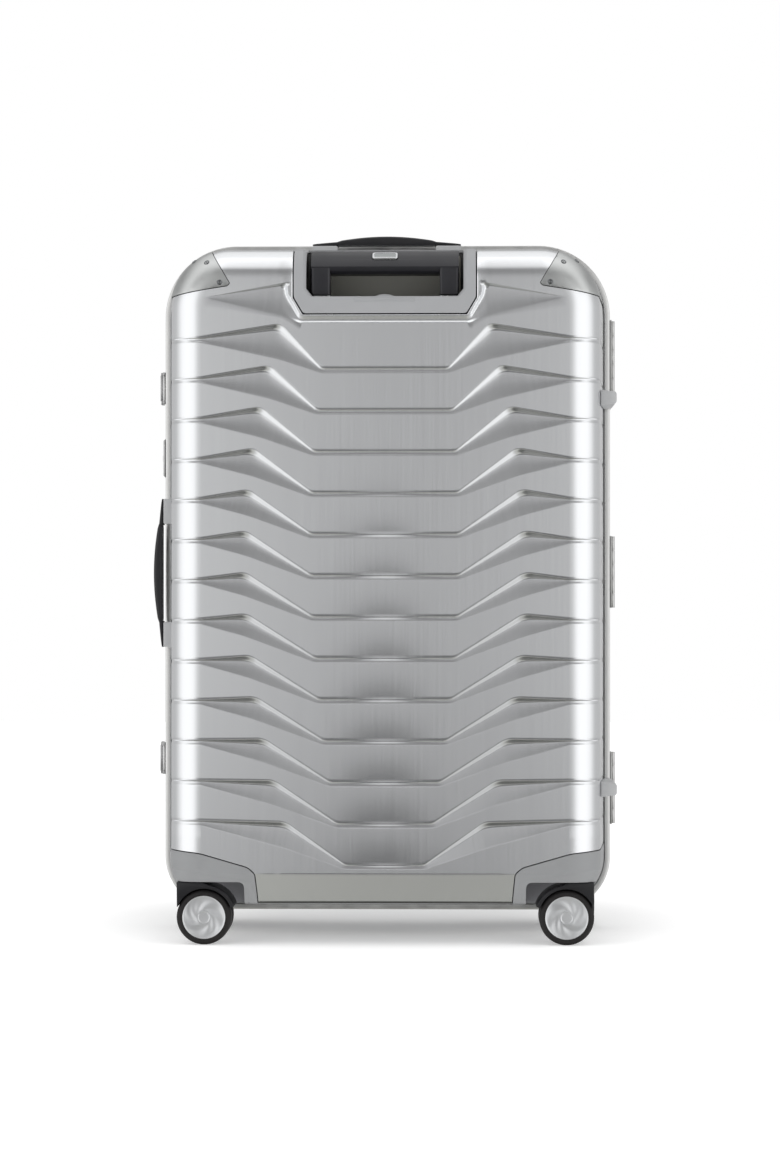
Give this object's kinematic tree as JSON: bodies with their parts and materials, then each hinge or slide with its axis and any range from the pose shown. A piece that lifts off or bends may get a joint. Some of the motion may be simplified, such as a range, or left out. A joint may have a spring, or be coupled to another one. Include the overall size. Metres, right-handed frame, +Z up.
{
  "type": "hard shell suitcase",
  "caption": "Tall ribbed aluminium hard shell suitcase with a hinged lid, flip latches, carry handles, a telescopic trolley handle and swivelling twin casters.",
  "frame": {"origin": "middle of the case's box, on the floor under the wheels", "axes": "+Z up, -Y towards the trolley handle's side, +X towards the lid hinges"},
  "size_m": [0.5, 0.287, 0.756],
  "materials": {
    "brushed_aluminium": "pressed sheet with a fine vertical brushed grain, anodised",
    "satin_frame": "satin anodised",
    "satin_guard": "satin anodised",
    "grey_moulding": "satin moulded, silver grey",
    "satin_bezel": "satin metallic grey",
    "black_plastic": "fine moulded texture",
    "black_fork": "satin",
    "wheel_rubber": "soft matt",
    "bright_steel": "bright",
    "anodised_tube": "drawn and anodised",
    "lining_fabric": "woven polyester",
    "light_bracket": "satin light grey",
    "light_button": "silvered, slightly glossy"
  },
  "bodies": {
    "root": {"rear_shell": "brushed_aluminium", "rear_frame": "satin_frame", "rear_lining": "lining_fabric", "rear_corner_guard_left": "satin_guard", "rear_corner_guard_right": "satin_guard", "rear_wheel_housing_left": "grey_moulding", "rear_wheel_housing_right": "grey_moulding", "rear_side_foot_upper": "light_bracket", "rear_side_foot_lower": "light_bracket", "handle_bezel": "satin_bezel", "handle_well": "black_plastic", "handle_guide": "anodised_tube", "hinge_leaf_rear_upper": "satin_frame", "hinge_leaf_rear_middle": "satin_frame", "hinge_leaf_rear_lower": "satin_frame", "latch_base_upper": "satin_frame", "latch_base_lower": "satin_frame", "lock_plate": "satin_frame", "top_handle_bracket_left": "light_bracket", "top_handle_bracket_right": "light_bracket", "side_handle_bracket_upper": "light_bracket", "side_handle_bracket_lower": "light_bracket"},
    "lid": {"front_shell": "brushed_aluminium", "front_frame": "satin_frame", "front_lining": "lining_fabric", "front_corner_guard_left": "satin_guard", "front_corner_guard_right": "satin_guard", "front_wheel_housing_left": "grey_moulding", "front_wheel_housing_right": "grey_moulding", "front_side_foot_upper": "light_bracket", "front_side_foot_lower": "light_bracket", "hinge_leaf_front_upper": "satin_frame", "hinge_leaf_front_middle": "satin_frame", "hinge_leaf_front_lower": "satin_frame", "latch_catch_upper": "satin_frame", "latch_catch_lower": "satin_frame"},
    "latch_lever_upper": {"latch_lever_upper": "satin_frame"},
    "latch_lever_lower": {"latch_lever_lower": "satin_frame"},
    "trolley_handle": {"handle_tube_left": "anodised_tube", "handle_tube_right": "anodised_tube", "handle_grip": "black_plastic"},
    "release_button": {"handle_button": "light_button"},
    "top_handle": {"top_handle_grip": "black_plastic"},
    "side_handle": {"side_handle_grip": "black_plastic"},
    "rear_left_caster": {"rear_left_caster_fork": "black_fork"},
    "rear_left_wheels": {"rear_left_caster_axle": "bright_steel", "rear_left_wheel_outer": "wheel_rubber", "rear_left_wheel_inner": "wheel_rubber"},
    "rear_right_caster": {"rear_right_caster_fork": "black_fork"},
    "rear_right_wheels": {"rear_right_caster_axle": "bright_steel", "rear_right_wheel_outer": "wheel_rubber", "rear_right_wheel_inner": "wheel_rubber"},
    "front_left_caster": {"front_left_caster_fork": "black_fork"},
    "front_left_wheels": {"front_left_caster_axle": "bright_steel", "front_left_wheel_outer": "wheel_rubber", "front_left_wheel_inner": "wheel_rubber"},
    "front_right_caster": {"front_right_caster_fork": "black_fork"},
    "front_right_wheels": {"front_right_caster_axle": "bright_steel", "front_right_wheel_outer": "wheel_rubber", "front_right_wheel_inner": "wheel_rubber"}
  },
  "joints": [
    {"name": "lid_hinge", "type": "hinge", "parent": "root", "child": "lid", "pos_m": [0.2473, 0, 0.394], "axis": [0, 0, -1], "range_deg": [0, 180]},
    {"name": "latch_upper_hinge", "type": "hinge", "parent": "root", "child": "latch_lever_upper", "pos_m": [-0.242, -0.011, 0.5946], "axis": [0, 0, 1], "range_deg": [0, 85]},
    {"name": "latch_lower_hinge", "type": "hinge", "parent": "root", "child": "latch_lever_lower", "pos_m": [-0.242, -0.011, 0.1911], "axis": [0, 0, 1], "range_deg": [0, 85]},
    {"name": "trolley_slide", "type": "slide", "parent": "root", "child": "trolley_handle", "axis": [0, 0, 1], "range_m": [0, 0.33]},
    {"name": "button_press", "type": "slide", "parent": "trolley_handle", "child": "release_button", "axis": [0, 0.5878, -0.809], "range_m": [0, 0.0025], "stiffness_N_per_m": 600, "springref_m": -0.001},
    {"name": "top_handle_lift", "type": "slide", "parent": "root", "child": "top_handle", "axis": [0, 0, 1], "range_m": [0, 0.012], "stiffness_N_per_m": 150, "springref_m": -0.002},
    {"name": "side_handle_lift", "type": "slide", "parent": "root", "child": "side_handle", "axis": [-1, 0, 0], "range_m": [0, 0.012], "stiffness_N_per_m": 150, "springref_m": -0.002},
    {"name": "rear_left_caster_swivel", "type": "hinge", "parent": "root", "child": "rear_left_caster", "pos_m": [-0.204, -0.104, 0.067], "axis": [0, 0, 1], "continuous": true},
    {"name": "rear_left_wheels_spin", "type": "hinge", "parent": "rear_left_caster", "child": "rear_left_wheels", "pos_m": [-0.189, -0.104, 0.029], "axis": [0, 1, 0], "continuous": true},
    {"name": "rear_right_caster_swivel", "type": "hinge", "parent": "root", "child": "rear_right_caster", "pos_m": [0.208, -0.104, 0.067], "axis": [0, 0, 1], "continuous": true},
    {"name": "rear_right_wheels_spin", "type": "hinge", "parent": "rear_right_caster", "child": "rear_right_wheels", "pos_m": [0.193, -0.104, 0.029], "axis": [0, 1, 0], "continuous": true},
    {"name": "front_left_caster_swivel", "type": "hinge", "parent": "lid", "child": "front_left_caster", "pos_m": [-0.204, 0.104, 0.067], "axis": [0, 0, 1], "continuous": true},
    {"name": "front_left_wheels_spin", "type": "hinge", "parent": "front_left_caster", "child": "front_left_wheels", "pos_m": [-0.204, 0.089, 0.029], "axis": [1, 0, 0], "continuous": true},
    {"name": "front_right_caster_swivel", "type": "hinge", "parent": "lid", "child": "front_right_caster", "pos_m": [0.208, 0.104, 0.067], "axis": [0, 0, 1], "continuous": true},
    {"name": "front_right_wheels_spin", "type": "hinge", "parent": "front_right_caster", "child": "front_right_wheels", "pos_m": [0.208, 0.089, 0.029], "axis": [1, 0, 0], "continuous": true}
  ]
}
